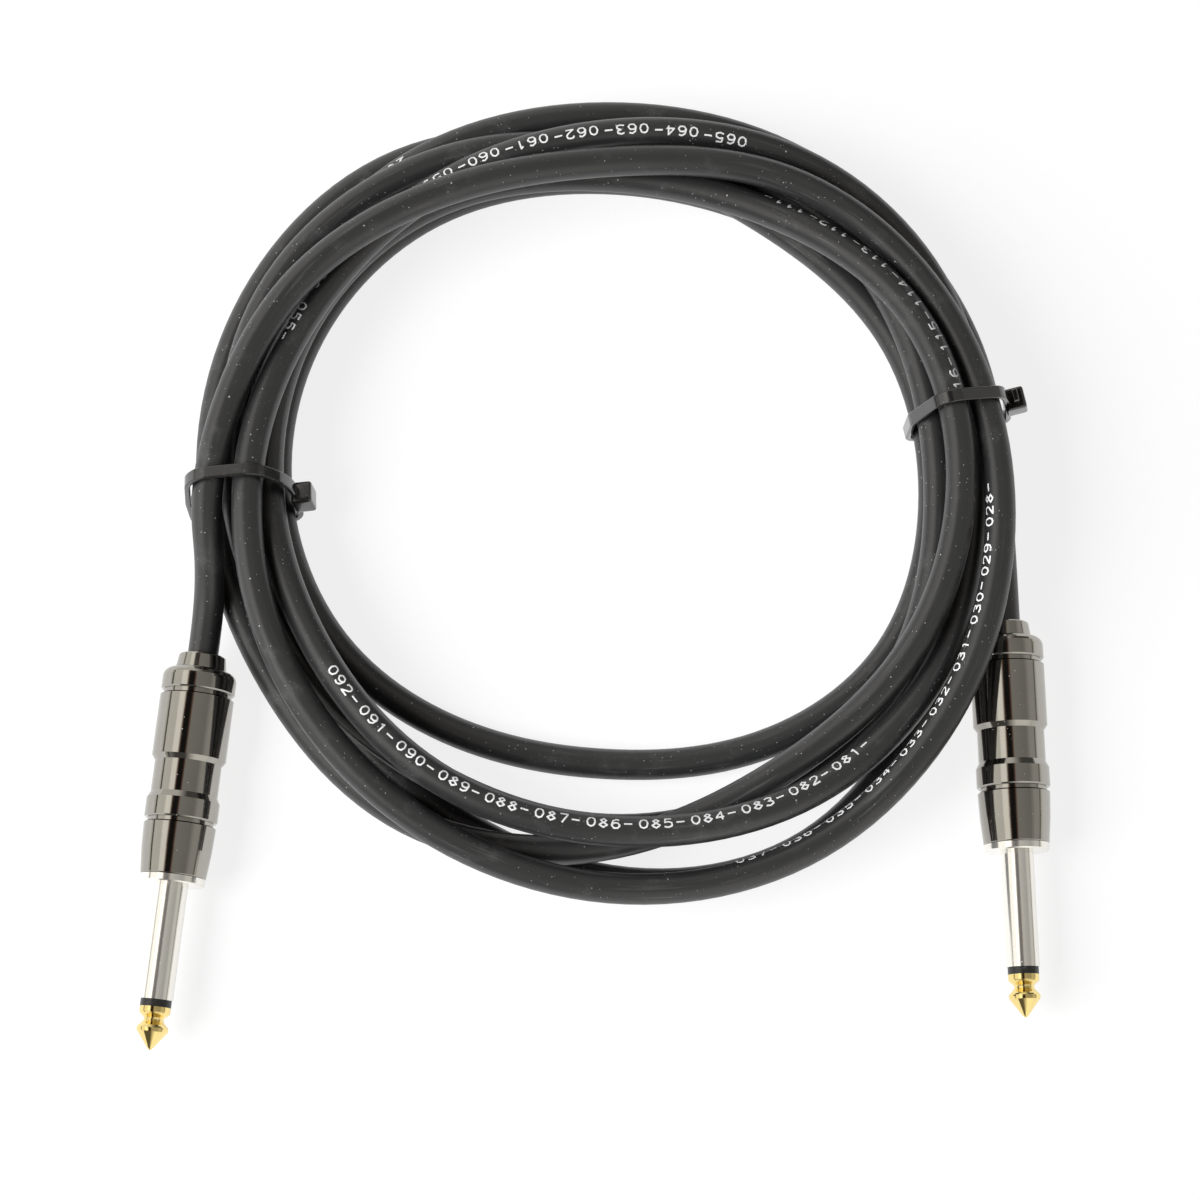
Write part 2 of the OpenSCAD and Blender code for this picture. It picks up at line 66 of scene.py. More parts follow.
# Radius and height of the cable's control points, in millimetres, pass by pass,
# at twelve even stations clockwise from the left.
PASSES_MM = [
    [75.6, 15.8], [73.6, 22.8], [65, 25], [62.5, 21.9], [71.7, 21.8], [75, 17.5],
    [76.2, 18.5], [80, 18], [82.5, 10.5], [79.5, 13.5], [75.5, 17.2], [72, 17.5],
    [69.5, 17], [68, 16], [69, 17.8], [70.5, 20.5], [79, 15], [79, 10.5],
    [71.5, 11.5], [74.5, 11], [73, 16], [68.5, 18], [67, 16.5], [64, 16.5],
    [66, 10], [70, 9.5], [70.5, 10], [63.6, 13.5], [63.5, 17.5], [69.2, 22],
    [69.2, 20.5], [68.5, 16.5], [64.5, 11], [71, 10.6], [77, 8.5], [74.3, 3],
    [78.6, 3], [83.2, 3.2], [85.2, 3.5], [74, 2.4], [73.3, 10.4], [67.5, 15.5],
    [64.5, 12.5], [68.5, 9], [68, 4], [66.8, 3.4], [65.2, 9.2], [68.5, 10.2],
    [73, 8.9], [79.5, 12], [76, 16.4], [71.5, 10.8], [64.2, 8.7], [66.7, 7.5],
    [65.2, 4.5], [65.5, 3], [58.5, 3], [52.5, 3.5], [55, 3.5], [61.5, 3],
    [65.4, 3], [69.5, 3], [71.3, 3], [67.5, 3], [68.5, 3], [72.5, 3],
    [71.2, 3], [74.1, 3], [82, 3], [77, 3], [69, 3], [67.8, 3],
    [72, 3], [76.4, 4.7], [80.2, 9.5], [78.4, 10.6], [81.1, 8.8], [79.5, 3.5]]
# Controls behind the necks: distance back along the plug's axis, and rise over it.
LEAD_IN_MM = [[-10, 0], [0, 0], [10, 0], [20, 7.2]]
LEAD_OUT_MM = [[41, -2.4], [22, -0.6], [10, 0], [0, 0], [-10, 0]]
# Steps of the path from one control to the next, steps inside a plug, sides of the jacket.
STEPS_A_CONTROL = 12
STEPS_IN_PLUG = 5
JACKET_SIDES = 24

# ---------------------------------------------------------------- the ties

TIE_LEANS = (11, 0)
TIE_ANGLES = (-3, 168)
# Rise of the passes at a tie, as a share of the room that its strap needs under them.
TIE_LIFTS = (1.65, 1.1)
# Steps of the search for where a strand crosses a tie's plane, and the controls either
# side of the crossing between which the strand is taken as straight.
CROSSING_STEPS = 4
STRAND_REACH = 0.08
# A circle that the strap also goes round (distance out, height, radius), and the oval
# inside it, as a share of its box.
TIE_SLACK = np.array([[78.8, 11, 3], [77, 12, 3]]) * MM
TIE_FILL = (0.96, 0.86)
# Directions in which the outline is worked out, directions from one point of the oval
# to the next, and steps of the strap along the outline.
OUTLINE_DIRECTIONS = 2880
OVAL_EVERY = 40
STRAP_STEPS = 360
# From a corner of the strap's section to where its rounding starts, and in from both
# faces to the rounding's middle point.
EDGE_SOFT, EDGE_HARD = 0.16 * MM, 0.07 * MM
# The two strand points whose line a head sits on, and whether its cut tail stands out.
TIE_HEADS = ((7, 16, False), (19, 1, True))
# Along the strap, away from it and across it; the head also sinks into the strap.
HEAD_SIZE = np.array([5.2, 3.6, 4.5]) * MM
HEAD_SINK = 0.55 * MM
TAIL_SIZE = np.array([5.0, 1.1, 2.5]) * MM
TAIL_SHIFT = 2.5 * MM
HEAD_ROUNDNESS, TAIL_ROUNDNESS = 0.22, 0.15

# ---------------------------------------------------------------- printed length marks

# Stretches of the route that carry marks: from and to, in controls, and the angle round
# the cable at both: 0 outwards, 90 on top, 180 towards the middle.
MARKED = [(2.8, 5.4, 250, 290), (9.9, 12.5, 142, 158), (16.7, 17.4, 78, 52),
          (17.5, 19.65, 60, 112), (23.6, 26.8, 122, 96), (31.9, 33.6, 40, 62),
          (39.4, 42.0, 280, 250), (46.6, 49.2, 300, 260), (53.8, 56.4, 250, 290),
          (61.0, 63.6, 262, 280), (68.2, 70.8, 260, 280), (75.4, 78.0, 95, 70)]
MARKS_A_METRE = 100
NUMERAL_SIZE = np.array([1.55, 1.85]) * MM
NUMERAL_PITCH = 2.35 * MM
STROKE_WIDTH = 0.33 * MM
STROKE_STEP = 0.3 * MM
INK_RISE = 0.015 * MM
# Strokes of the numerals, in a box one wide and one high.
NUMERALS = {
    "0": [[(.5, 1), (.15, .87), (0, .5), (.15, .13), (.5, 0), (.85, .13), (1, .5),
           (.85, .87), (.5, 1)]],
    "1": [[(.2, .78), (.55, 1), (.55, 0)]],
    "2": [[(0, .75), (.15, .95), (.5, 1), (.85, .93), (.95, .7), (.8, .48), (0, 0), (1, 0)]],
    "3": [[(0, .9), (.4, 1), (.85, .9), (.85, .65), (.4, .53), (.9, .4), (.95, .12),
           (.5, 0), (0, .1)]],
    "4": [[(.75, 0), (.75, 1), (0, .3), (1, .3)]],
    "5": [[(.9, 1), (.15, 1), (.08, .55), (.5, .64), (.92, .5), (.95, .15), (.5, 0),
           (0, .1)]],
    "6": [[(.9, .92), (.5, 1), (.12, .8), (0, .3), (.25, 0), (.75, 0), (1, .28),
           (.75, .57), (.3, .57), (.03, .35)]],
    "7": [[(0, 1), (1, 1), (.4, 0)]],
    "8": [[(.5, .54), (.12, .77), (.5, 1), (.88, .77), (.5, .54), (0, .27), (.5, 0),
           (1, .27), (.5, .54)]],
    "9": [[(.1, .08), (.5, 0), (.88, .2), (1, .7), (.75, 1), (.25, 1), (0, .72),
           (.25, .43), (.7, .43), (.97, .65)]],
    "-": [[(0, .5), (1, .5)]]}

# ---------------------------------------------------------------- the stage

# Name, place, turn, side and power of each lamp.
LAMPS = (("key", (-0.75, -0.2, 0.68), (0.2, -0.84, 0), 0.7, 17.0),
         ("fill", (0.75, 0.35, 0.8), (-0.4, 0.7, 0), 0.4, 1.0))
# What the camera looks at, and its lens and sensor in millimetres.
LOOKED_AT = np.array([0.6, 24.7, 0]) * MM
LENS, SENSOR_WIDTH = 82.5, 36


def behind(side, distance, rise):
    """Point that far behind a plug's neck, straight back along its axis, and raised."""
    turn = math.radians(PLUG_TURNS[side])
    distance, rise = np.asarray(distance, float), np.asarray(rise, float)
    return np.stack([NECKS[side][0] - distance * math.sin(turn),
                     NECKS[side][1] + distance * math.cos(turn),
                     AXIS_HEIGHT + rise], -1)


def route_controls(tie):
    """Controls of the route: a station is on its ray at its radius, pushed out by the
    share that even stations lose in a cubic B-spline, and lifted over the ties."""
    rows = np.array(PASSES_MM) * MM
    station = np.arange(len(rows)) % STATIONS
    angle = np.radians(360 / STATIONS * station)
    reach = 3 / (2 + math.cos(2 * math.pi / STATIONS))
    lean = math.radians(max(TIE_LEANS))
    need = tie.thickness + tie.clearance + tie.width / 2 * math.sin(lean)
    at_left, at_right = station == 0, (station == 5) | (station == 6)
    lift = np.select([at_left, at_right], [share * need for share in TIE_LIFTS], 0)
    coil = np.stack([COIL_CENTRE[0] - reach * rows[:, 0] * np.cos(angle),
                     COIL_CENTRE[1] + reach * rows[:, 0] * np.sin(angle),
                     rows[:, 1] + lift], -1)
    lead_in, lead_out = np.array(LEAD_IN_MM) * MM, np.array(LEAD_OUT_MM) * MM
    return np.vstack([behind(0, lead_in[:, 0], lead_in[:, 1]), coil,
                      behind(1, lead_out[:, 0], lead_out[:, 1])])


def spline_at(controls, t):
    """Points of the uniform cubic B-spline at control counts t: the mean of the four
    nearest controls, weighted by the cubic blends of the fraction f past a control."""
    t = np.asarray(t, float)
    i = np.clip(np.floor(t).astype(int), 1, len(controls) - 3)
    f = t - i
    weights = np.stack([(1 - f) ** 3, 3 * f ** 3 - 6 * f ** 2 + 4,
                        -3 * f ** 3 + 3 * f ** 2 + 3 * f + 1, f ** 3], -1) / 6
    near = controls[i[..., None] + np.arange(-1, 3)]
    return np.einsum("...k,...kc->...c", weights, near)


def even_steps(controls):
    """Control counts in even steps, from one neck to the other."""
    return 1 + np.arange((len(controls) - 3) * STEPS_A_CONTROL + 1) / STEPS_A_CONTROL


def cable_centreline(controls):
    """Route from inside one plug to inside the other, with even steps of the spline."""
    inside = np.linspace(-JACKET_IN_PLUG, 0, STEPS_IN_PLUG + 1)[:-1]
    return np.vstack([behind(0, inside, 0 * inside), spline_at(controls, even_steps(controls)),
                      behind(1, inside[::-1], 0 * inside)])


# ---------------------------------------------------------------- surfaces

def unit(vectors):
    """Each vector divided by its length."""
    return vectors / np.linalg.norm(vectors, axis=-1, keepdims=True)


def arc_lengths(points):
    """Distance along the points up to each of them."""
    steps = np.linalg.norm(np.diff(points, axis=0), axis=1)
    return np.concatenate([[0], np.cumsum(steps)])


def along_line(at, along, vectors):
    """Vectors known at distances along a line, read off in between at others."""
    return np.stack([np.interp(at, along, column) for column in vectors.T], -1)


def level_sides(path):
    """Along an open path: the level vector square to it, and the one above that."""
    ahead = unit(np.gradient(path, axis=0))
    side = unit(np.cross([0, 0, 1], ahead))
    return side, np.cross(ahead, side)


def new_piece(name, points, faces):
    """Object at the origin with those points and faces."""
    mesh = bpy.data.meshes.new(name)
    mesh.from_pydata(points.tolist(), [], faces)
    mesh.update()
    piece = bpy.data.objects.new(name, mesh)
    bpy.context.scene.collection.objects.link(piece)
    return piece


def grid_piece(name, grid, wrap=(False, True), caps=True, uv=None):
    """Smooth piece from a grid of points: rows and columns wrap where asked, and caps
    close the two end rows. uv gives the rows' and the columns' coordinates, one more
    each where they wrap."""
    rows, cols = grid.shape[:2]
    r = np.arange(rows - (0 if wrap[0] else 1))[:, None]
    c = np.arange(cols - (0 if wrap[1] else 1))[None, :]
    a, b = r * cols + c, r * cols + (c + 1) % cols
    d, e = (r + 1) % rows * cols + c, (r + 1) % rows * cols + (c + 1) % cols
    quads = np.stack([a, b, e, d], -1).reshape(-1, 4).tolist()
    ends = [list(range(cols))[::-1], list(range((rows - 1) * cols, rows * cols))]
    piece = new_piece(name, grid.reshape(-1, 3), quads + ends if caps else quads)
    mesh = piece.data
    mesh.polygons.foreach_set("use_smooth", np.ones(len(mesh.polygons), bool))
    if uv is not None:
        layer = mesh.uv_layers.new(name="along")
        flat = np.zeros((len(mesh.loops), 2), np.float32)
        corners = [(r, c), (r, c + 1), (r + 1, c + 1), (r + 1, c)]
        per_face = np.stack([np.stack(np.broadcast_arrays(uv[0][i], uv[1][j]), -1)
                             for i, j in corners], 2).reshape(-1, 2)
        flat[:len(per_face)] = per_face
        layer.data.foreach_set("uv", flat.ravel())
    mesh.validate()
    mesh.update()
    return piece


def strips_piece(name, grids):
    """Piece of many open strips of quads, two points across, facing outwards."""
    starts = np.cumsum([0] + [g.shape[0] * 2 for g in grids[:-1]])
    faces = np.concatenate([start + 2 * np.arange(len(g) - 1)[:, None] + [0, 1, 3, 2]
                            for start, g in zip(starts, grids)])
    return new_piece(name, np.concatenate([g.reshape(-1, 3) for g in grids]), faces.tolist())


def tube_grid(path, radius, sides):
    """Points at the radius from the path, turning from the level side vector upwards.
    The seam is underneath."""
    side, up = level_sides(path)
    turn = np.arange(sides) / sides * 2 * math.pi - math.pi / 2
    ring = np.cos(turn)[:, None] * side[:, None] + np.sin(turn)[:, None] * up[:, None]
    return path[:, None] + radius * ring


def stroke_strip(corners):
    """Flat strip along a stroke of a numeral, cut into short steps: a point is moved half
    the stroke's width along the mean of the normals of its two sides."""
    length = arc_lengths(corners)
    at = np.union1d(length, np.arange(0, length[-1], STROKE_STEP))
    flat = along_line(at, length, corners)
    run = unit(np.diff(flat, axis=0))
    normal = np.stack([-run[:, 1], run[:, 0]], -1)
    # The tiny sum keeps a stroke that turns right back from having no normal.
    middle = normal[1:] + normal[:-1] + 1e-9
    normal = unit(np.vstack([normal[:1], middle, normal[-1:]]))
    return np.stack([flat - normal * STROKE_WIDTH / 2, flat + normal * STROKE_WIDTH / 2], 1)


def printed_marks(path, along, stretches, cable):
    """Strips just over the jacket: a count of centimetres, with a dash between numbers.
    Each flat strip is wound on: backwards along the route, and round by its height over
    the radius. A stretch is its two distances along the route and the angles there."""
    side, up = level_sides(path)
    radius = cable.diameter / 2 + INK_RISE
    grids = []
    for start, end, angle, end_angle in stretches:
        counts = np.arange(math.ceil(start * MARKS_A_METRE), math.floor(end * MARKS_A_METRE) + 1)
        for count in counts:
            share = (count / MARKS_A_METRE - start) / (end - start)
            middle = math.radians(angle + share * (end_angle - angle))
            text = "%03d-" % (count % 1000)
            spots = (np.arange(len(text)) - (len(text) - 1) / 2) * NUMERAL_PITCH
            for sign, spot in zip(text, spots):
                for line in NUMERALS[sign]:
                    strip = stroke_strip((np.array(line, float) - 0.5) * NUMERAL_SIZE)
                    at = count / MARKS_A_METRE - spot - strip[..., 0]
                    turn = middle + strip[..., 1] / radius
                    point, flank, top = (along_line(at, along, v) for v in (path, side, up))
                    ring = np.cos(turn)[..., None] * flank + np.sin(turn)[..., None] * top
                    grids.append(point + radius * ring)
    return grids


def place_in_tie(index, local):
    """Points of a tie's own leaning plane (outwards, up, across the strap) in the frame."""
    alpha, beta = math.radians(90 + TIE_LEANS[index]), math.radians(180 - TIE_ANGLES[index])
    lean = np.array([[1, 0, 0],
                     [0, math.cos(alpha), -math.sin(alpha)],
                     [0, math.sin(alpha), math.cos(alpha)]])
    turn = np.array([[math.cos(beta), -math.sin(beta), 0],
                     [math.sin(beta), math.cos(beta), 0],
                     [0, 0, 1]])
    return local @ (turn @ lean).T + [COIL_CENTRE[0], COIL_CENTRE[1], 0]


def strands_in_tie(index, controls):
    """Where the seven strands cross a tie's plane, each at three points close together.
    A crossing is found by stepping along by the angle that is still missing."""
    lean, angle = math.radians(TIE_LEANS[index]), TIE_ANGLES[index]
    passes = np.arange(len(PASSES_MM) // STATIONS + 1)
    t = len(LEAD_IN_MM) + STATIONS * passes + angle * STATIONS / 360
    for _ in range(CROSSING_STEPS):
        p = spline_at(controls, t)
        q = p[:, :2] - COIL_CENTRE
        ray = angle + np.degrees(p[:, 2] * math.tan(lean) / np.linalg.norm(q, axis=1))
        t = t + (ray - np.degrees(np.arctan2(q[:, 1], -q[:, 0]))) * STATIONS / 360
    p = spline_at(controls, (t[:, None] + [-STRAND_REACH, 0, STRAND_REACH]).ravel())
    out = np.array([-math.cos(math.radians(angle)), math.sin(math.radians(angle))])
    return np.stack([(p[:, :2] - COIL_CENTRE) @ out, p[:, 2] / math.cos(lean)], -1)


def wrap_outline(centres, radii, steps, fill):
    """Line stretched round circles and round the oval that takes up that share of their
    box, and its outward normals, both at even distances. The circle that reaches furthest
    in a direction carries the line's point there."""
    turn = np.arange(OUTLINE_DIRECTIONS) / OUTLINE_DIRECTIONS * 2 * math.pi
    normal = np.stack([np.cos(turn), np.sin(turn)], -1)
    low, high = (centres - radii[:, None]).min(0), (centres + radii[:, None]).max(0)
    oval = (low + high) / 2 + fill * (high - low) / 2 * normal[::OVAL_EVERY]
    centres, radii = np.vstack([centres, oval]), np.append(radii, np.zeros(len(oval)))
    best = np.argmax(normal @ centres.T + radii, axis=1)
    line = centres[best] + radii[best, None] * normal
    line, normal = np.vstack([line, line[:1]]), np.vstack([normal, normal[:1]])
    along = arc_lengths(line)
    at = np.arange(steps) / steps * along[-1]
    return along_line(at, along, line), unit(along_line(at, along, normal))


def strap_profile(tie):
    """Closed outline of the strap's section (across it, out from its middle): a flat
    rectangle whose edges are softened by two short facets. The last point of an edge
    lies on the flat face, so that smooth shading leaves the face flat."""
    w, h = tie.width / 2, tie.thickness / 2
    edge = [[w, h - EDGE_SOFT], [w - EDGE_HARD, h - EDGE_HARD], [w - EDGE_SOFT, h],
            [0.9 * (w - EDGE_SOFT), h]]
    return np.array(edge + [[-x, y] for x, y in edge[::-1]]
                    + [[-x, -y] for x, y in edge] + [[x, -y] for x, y in edge[::-1]])


def block_grid(size, roundness, rows=24, cols=48):
    """Rounded block as a superquadric: cosines and sines of the two angles raised to
    the roundness, so a small power gives flat faces with rounded edges."""
    def power(x):
        return np.sign(x) * np.abs(x) ** roundness

    lat = np.linspace(-math.pi / 2, math.pi / 2, rows)[:, None]
    lon = (np.arange(cols) / cols * 2 * math.pi)[None, :]
    return 0.5 * np.stack([size[0] * power(np.cos(lat)) * power(np.cos(lon)),
                           size[1] * power(np.cos(lat)) * power(np.sin(lon)),
                           size[2] * power(np.sin(lat)) + 0 * lon], -1)


def block_on_line(block, first, second, shift, depth):
    """Block in a tie's own plane, laid along the line between two strands: moved along
    it from the middle, and out from it by the depth."""
    run = unit(second - first)
    across = np.array([-run[1], run[0]])
    flat = ((first + second) / 2 + (block[..., :1] + shift) * run
            + (block[..., 1:2] - depth) * across)
    return np.concatenate([flat, block[..., 2:]], -1)


# ---------------------------------------------------------------- materials

class Value:
    """A node's output, so that shader maths is written as an expression."""

    def __init__(self, finish, socket):
        self.finish, self.socket = finish, socket

    def output(self, index):
        """Another output of the same node."""
        return Value(self.finish, self.socket.node.outputs[index])

    def maths(self, operation, *terms):
        return self.finish.node("Math", {"operation": operation}, dict(enumerate(terms)))

    def __add__(self, other):
        return self.maths("ADD", self, other)

    def __radd__(self, other):
        return self.maths("ADD", other, self)

    def __sub__(self, other):
        return self.maths("SUBTRACT", self, other)

    def __rsub__(self, other):
        return self.maths("SUBTRACT", other, self)

    def __mul__(self, other):
        return self.maths("MULTIPLY", self, other)

    def __rmul__(self, other):
        return self.maths("MULTIPLY", other, self)

    def __mod__(self, other):
        return self.maths("FLOORED_MODULO", self, other)

    def __lt__(self, other):
        return self.maths("LESS_THAN", self, other)


class Finish:
    """A material and the one way in which its nodes are made."""

    def __init__(self, name, store="materials"):
        self.material = getattr(bpy.data, store).new(name)
        self.material.use_nodes = True
        self.tree = self.material.node_tree
        self.tree.nodes.clear()

    def node(self, kind, settings=None, sockets=None, output=0):
        """A node of that kind: its settings first, then the values or links of its sockets."""
        made = self.tree.nodes.new("ShaderNode" + kind)
        for key, value in (settings or {}).items():
            if key == "stops":
                ramp = made.color_ramp.elements
                while len(ramp) < len(value):
                    ramp.new(0.5)
                for stop, (place, colour) in zip(ramp, value):
                    stop.position, stop.color = place, colour
            else:
                setattr(made, key, value)
        for key, value in (sockets or {}).items():
            if isinstance(value, Value):
                self.tree.links.new(value.socket, made.inputs[key])
            else:
                made.inputs[key].default_value = value
        return Value(self, made.outputs[output]) if made.outputs else None

    def object_place(self):
        """Object coordinates."""
        return self.node("TexCoord", output=3)

    def parts(self, vector):
        """The three coordinates of a vector."""
        x = self.node("SeparateXYZ", None, {0: vector})
        return x, x.output(1), x.output(2)

    def blend(self, factor, first, second):
        """Colour between two colours."""
        return self.node("Mix", {"data_type": "RGBA"}, {0: factor, 6: first, 7: second}, 2)

    def noise(self, place, scale, detail=3.0, roughness=0.5):
        return self.node("TexNoise", None, {"Vector": place, "Scale": scale, "Detail": detail,
                                             "Roughness": roughness})

    def ramp(self, value, low, high):
        """0 below low and 1 above high, straight in between."""
        return self.node("MapRange", {"clamp": True}, {0: value, 1: low, 2: high, 3: 0.0, 4: 1.0})

    def done(self, sockets, bump, distance):
        sockets["Normal"] = self.node("Bump", None, {"Height": bump, "Distance": distance})
        shader = self.node("BsdfPrincipled", None, sockets)
        self.node("OutputMaterial", None, {"Surface": shader})
        return self.material


def grey(level, warm=0.0):
    return (level * (1 + warm), level, level * (1 - warm), 1.0)


def tone(level):
    """Faintly warm grey of the room's walls."""
    return (level * 1.03, level, level * 0.93, 1.0)


def scaled(colour, by):
    """Colour times a number, kept from passing white."""
    return tuple(min(1.0, part * by) for part in colour[:3]) + (1.0,)


def specks(f, place, scale, size, share):
    """1 in small dots round the points of a cell pattern, in that share of its cells. A
    cell's random colour gives its dot's size and its chance."""
    away = f.node("TexVoronoi", None, {"Vector": place, "Scale": scale})
    level = f.node("SeparateColor", None, {0: away.output(1)})
    chance = level.output(1)
    return f.ramp(size * (level + 0.4) - away, 0.0, 0.012) * (chance < share)


def jacket_finish(cable):
    """Satin black jacket: matt and polished patches, a mould line on each side, scuffs
    drawn out along the cable, fine grain, and dust in two sizes."""
    f = Finish("jacket")
    place = f.object_place()
    along = f.node("TexCoord", output=2)
    cloud = f.noise(place, 45.0, 4.0)
    matt = f.ramp(f.noise(place, 120.0, 5.0, 0.65), 0.56, 0.75)
    drawn = f.node("Mapping", None, {"Vector": along, "Scale": (60.0, 1400.0, 1.0)})
    worn = f.ramp(f.noise(place, 30.0, 2.0), 0.45, 0.62)
    scuff = f.ramp(f.noise(drawn, 1.0, 3.0), 0.58, 0.78) * worn
    half = math.pi * cable.diameter / 2
    around = f.parts(along)[1]
    seam = f.ramp((around % half - half * 0.42).maths("ABSOLUTE"), 0.12 * MM, 0.02 * MM)
    coarse = specks(f, place, 420.0, 0.06, 0.5)
    dust = coarse.maths("MAXIMUM", coarse, specks(f, place, 1300.0, 0.11, 0.45))
    film = matt * f.ramp(f.noise(place, 2600.0, 2.0), 0.5, 0.7)
    grain = 0.12 * f.noise(place, 5200.0, 3.0) + 0.25 * f.noise(place, 700.0, 3.0)
    colour = f.blend(cloud, grey(cable.shade * 0.75, -0.02), grey(cable.shade * 1.2, -0.02))
    colour = f.blend(0.08 * matt + 0.22 * scuff + 0.20 * film, colour, grey(0.30))
    colour = f.blend(0.55 * dust, colour, grey(0.75))
    roughness = 0.33 + 0.10 * cloud + 0.12 * matt + 0.10 * scuff + 0.3 * dust
    return f.done({"Base Color": colour, "Specular IOR Level": 0.78, "Roughness": roughness},
                  bump=grain + 0.5 * seam + 0.4 * dust - 0.2 * scuff, distance=0.06 * MM)


def ink_finish():
    """White ink, thin in places and rubbed off in specks."""
    f = Finish("white_ink")
    place = f.object_place()
    thin, worn = f.noise(place, 900.0, 3.0), f.ramp(f.noise(place, 3500.0, 3.0), 0.60, 0.70)
    colour = f.blend(0.3 * thin, grey(0.95), grey(0.6))
    return f.done({"Base Color": f.blend(0.6 * worn, colour, grey(0.05)),
                   "Roughness": 0.5 + 0.1 * thin}, bump=worn, distance=0.01 * MM)


def plated_finish(name, side, colour, roughness, scratch, metal=1.0):
    """Plated metal: faint turning rings across the plug's axis, clouds, hairline
    scratches along it, and dust."""
    f, colour = Finish(name), tuple(colour)
    turn = (0, 0, -math.radians(PLUG_TURNS[side]))
    place = f.node("Mapping", None, {"Vector": f.object_place(), "Rotation": turn})
    rings = f.node("TexNoise", {"noise_dimensions": "1D"},
                   {"W": f.parts(place)[1], "Scale": 5200.0, "Detail": 4.0})
    cloud = f.noise(place, 260.0, 4.0)
    drawn = f.node("Mapping", None, {"Vector": place, "Scale": (5200.0, 300.0, 5200.0)})
    hair = f.ramp(f.noise(drawn, 1.0, 2.0), 0.68, 0.74) * scratch
    dust = specks(f, place, 900.0, 0.07, 0.35)
    base = f.blend(0.35 * cloud + 0.5 * hair, colour, scaled(colour, 1.35))
    base = f.blend(0.6 * dust, base, grey(0.8))
    rough = roughness + 0.05 * cloud + 0.03 * rings + 0.12 * hair + 0.4 * dust
    return f.done({"Base Color": base, "Metallic": metal - 0.8 * dust, "Roughness": rough},
                  bump=0.5 * rings + 0.6 * hair + dust, distance=0.004 * MM)


def plastic_finish(name, colour, roughness, dusty=0.3, gloss=0.5, coat=0.0):
    """Moulded plastic: faint clouds, scuffs, a fine grain and dust."""
    f = Finish(name)
    place = f.object_place()
    cloud, grain = f.noise(place, 300.0, 4.0), f.noise(place, 3600.0, 3.0)
    dust = specks(f, place, 700.0, 0.06, dusty)
    scuff = f.ramp(f.noise(place, 900.0, 5.0, 0.7), 0.6, 0.72)
    base = f.blend(cloud, scaled(colour, 0.8), colour)
    base = f.blend(0.10 * scuff + 0.5 * dust, base, grey(0.6))
    rough = roughness + 0.08 * cloud + 0.15 * scuff + 0.3 * dust
    return f.done({"Base Color": base, "Roughness": rough, "Specular IOR Level": gloss,
                   "Coat Weight": coat, "Coat Roughness": 0.08},
                  bump=0.4 * grain + 0.3 * scuff + 0.5 * dust, distance=0.03 * MM)


# ---------------------------------------------------------------- settings

class CableSettings(bpy.types.PropertyGroup):
    diameter: bpy.props.FloatProperty(
        name="Diameter", description="Outer diameter of the jacket",
        default=0.006, min=0.003, max=0.0062, unit="LENGTH")
    shade: bpy.props.FloatProperty(
        name="Shade", description="Brightness of the black jacket",
        default=0.026, min=0.0, max=0.2)


class TieSettings(bpy.types.PropertyGroup):
    width: bpy.props.FloatProperty(
        name="Width", description="Width of the strap", default=0.0025, unit="LENGTH")
    thickness: bpy.props.FloatProperty(
        name="Thickness", description="Thickness of the strap", default=0.0011, unit="LENGTH")
    clearance: bpy.props.FloatProperty(
        name="Clearance", description="Room between strap and cable",
        default=0.00035, unit="LENGTH")


class PlugSettings(bpy.types.PropertyGroup):
    shell_colour: bpy.props.FloatVectorProperty(
        name="Shell colour", description="Colour of the dark plating",
        subtype="COLOR", size=4, default=(0.36, 0.345, 0.315, 1.0))
    nickel_colour: bpy.props.FloatVectorProperty(
        name="Nickel colour", description="Colour of the bright plating",
        subtype="COLOR", size=4, default=(0.93, 0.90, 0.83, 1.0))
    gold_colour: bpy.props.FloatVectorProperty(
        name="Gold colour", description="Colour of the tip",
        subtype="COLOR", size=4, default=(0.93, 0.70, 0.29, 1.0))


class StageSettings(bpy.types.PropertyGroup):
    distance: bpy.props.FloatProperty(
        name="Camera distance", description="From the camera to what it looks at",
        default=0.55, unit="LENGTH")
    elevation: bpy.props.FloatProperty(
        name="Camera elevation", description="Above the floor",
        default=math.radians(77), subtype="ANGLE")


# ---------------------------------------------------------------- operators

class CABLE_OT_lay_cable(bpy.types.Operator):
    """Lays the jacket along its route"""
    bl_idname = "cable.lay_cable"
    bl_label = "Lay the cable"

    def execute(self, context):
        cable = context.scene.cable_settings
        controls = route_controls(context.scene.tie_settings)
        path = cable_centreline(controls)
        along = arc_lengths(path)
        around = np.arange(JACKET_SIDES + 1) / JACKET_SIDES * math.pi * cable.diameter
        piece = grid_piece("cable_jacket", tube_grid(path, cable.diameter / 2, JACKET_SIDES),
                           uv=(along, around))
        piece.data.materials.append(jacket_finish(cable))

        stretches = np.array(MARKED)
        stretches[:, :2] = np.interp(stretches[:, :2], even_steps(controls),
                                     along[STEPS_IN_PLUG:-STEPS_IN_PLUG])
        marks = strips_piece("length_marks", printed_marks(path, along, stretches, cable))
        marks.data.materials.append(ink_finish())
        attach(marks, "cord")
        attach(piece, "cord")
        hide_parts("cable")
        return {"FINISHED"}


